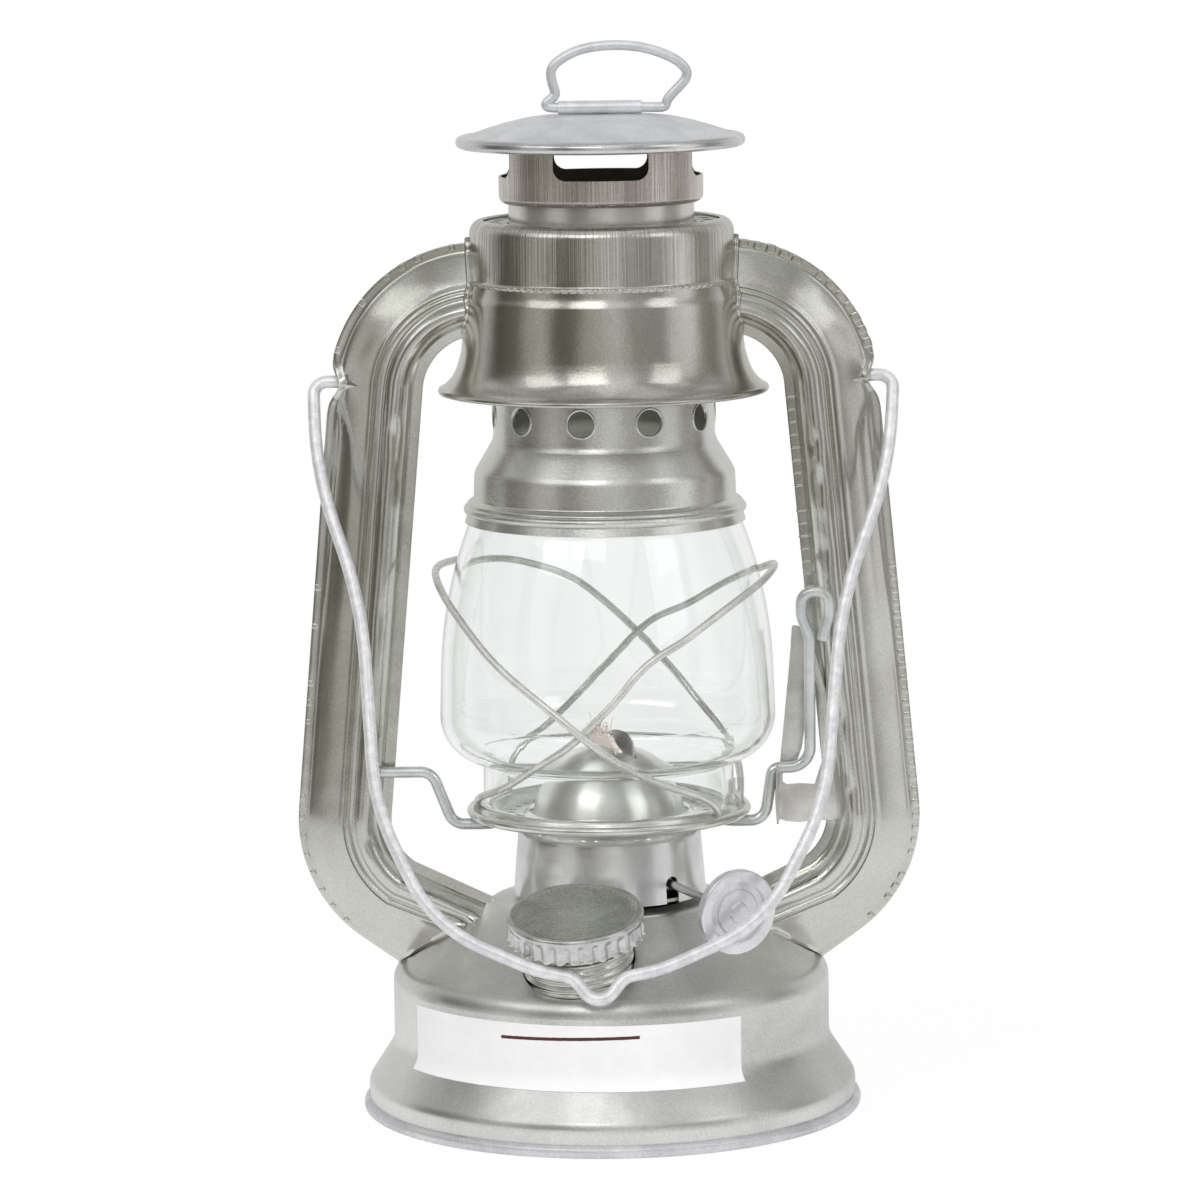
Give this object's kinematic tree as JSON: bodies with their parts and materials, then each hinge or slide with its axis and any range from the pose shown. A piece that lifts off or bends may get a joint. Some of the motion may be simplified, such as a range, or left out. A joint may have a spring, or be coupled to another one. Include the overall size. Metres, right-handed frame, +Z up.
{
  "type": "hurricane lantern",
  "caption": "Hot blast kerosene hurricane lantern with round tank, side air tubes, glass globe in a wire guard, wick raiser, lift lever, hanging bail and top ring",
  "frame": {"origin": "middle of the tank's foot ring on the floor", "axes": "+Z up; the filler cap and the hanging bail face -Y; the lift lever is on the +X side tube"},
  "size_m": [0.1498, 0.1204, 0.2571],
  "materials": {
    "tinplate": "bright tin plate, slightly satin",
    "zinc_wire": "bright zinc plated wire",
    "globe_glass": "clear pressed glass",
    "wick_cotton": "woven cotton",
    "gasket_rubber": "black rubber",
    "label_foil": "white foil sticker, left blank"
  },
  "bodies": {
    "frame": {"tank_shell": "tinplate", "tank_bottom": "tinplate", "tank_deck": "tinplate", "filler_neck": "tinplate", "blank_label": "label_foil", "left_tube_front": "tinplate", "left_tube_rear": "tinplate", "right_tube_front": "tinplate", "right_tube_rear": "tinplate", "left_tube_collar": "tinplate", "right_tube_collar": "tinplate", "hood": "tinplate", "hood_top": "tinplate", "burner_collar": "tinplate", "burner_bell": "tinplate", "burner_body": "tinplate", "wick_tube": "tinplate", "burner_cone": "tinplate", "shaft_bearing": "tinplate", "lever_bracket": "tinplate", "return_spring": "zinc_wire"},
    "lever": {"lift_lever": "zinc_wire"},
    "globe_carriage": {"globe_plate": "tinplate", "globe": "globe_glass", "left_guard_wire": "zinc_wire", "right_guard_wire": "zinc_wire", "globe_clip": "tinplate"},
    "chimney": {"globe_dome": "tinplate", "chimney_tube": "tinplate", "crown": "tinplate", "crown_cap": "tinplate", "ring_hinge": "tinplate"},
    "ring": {"top_ring": "zinc_wire"},
    "bail_handle": {"bail": "zinc_wire"},
    "wick_raiser": {"raiser_shaft": "zinc_wire", "raiser_sprockets": "tinplate", "raiser_knob": "tinplate"},
    "wick_ribbon": {"wick": "wick_cotton"},
    "gasket": {"cap_gasket": "gasket_rubber"},
    "filler_lid": {"filler_cap": "tinplate"}
  },
  "joints": [
    {"name": "lever_tilt", "type": "hinge", "parent": "frame", "child": "lever", "pos_m": [0, -0.003, 0.08239], "axis": [1, 0, 0], "range_deg": [0, 14]},
    {"name": "globe_lift", "type": "slide", "parent": "frame", "child": "globe_carriage", "axis": [0, 0, 1], "range_m": [0, 0.0075]},
    {"name": "chimney_lift", "type": "slide", "parent": "globe_carriage", "child": "chimney", "axis": [0, 0, 1], "range_m": [0, 0.0054], "stiffness_N_per_m": 300, "springref_m": -0.004, "deforming": ["return_spring"]},
    {"name": "ring_turn", "type": "hinge", "parent": "chimney", "child": "ring", "pos_m": [0, 0, 0.24113], "axis": [1, 0, 0], "range_deg": [-88, 88]},
    {"name": "bail_swing", "type": "hinge", "parent": "frame", "child": "bail_handle", "pos_m": [0, 0, 0.1766], "axis": [-1, 0, 0], "range_deg": [0, 315]},
    {"name": "knob_turn", "type": "hinge", "parent": "frame", "child": "wick_raiser", "pos_m": [0.00364, 0.0021, 0.05819], "axis": [0.4991, -0.8644, -0.061], "range_deg": [-110, 145]},
    {"name": "wick_slide", "type": "slide", "parent": "frame", "child": "wick_ribbon", "axis": [0, 0, 1], "range_m": [-0.008, 0.006]},
    {"name": "cap_rise", "type": "slide", "parent": "frame", "child": "gasket", "axis": [-0.0516, -0.2536, 0.9659], "range_m": [0, 0.0081]},
    {"name": "cap_turn", "type": "hinge", "parent": "gasket", "child": "filler_lid", "pos_m": [-0.00768, -0.03773, 0.04381], "axis": [-0.0516, -0.2536, 0.9659], "range_deg": [0, 800]}
  ],
  "couplings": [
    {"joint": "lever_tilt", "follows": "globe_lift", "rad_per_m": 32.468},
    {"joint": "wick_slide", "follows": "knob_turn", "m_per_rad": -0.0031},
    {"joint": "cap_rise", "follows": "cap_turn", "m_per_rad": 0.00057296}
  ]
}
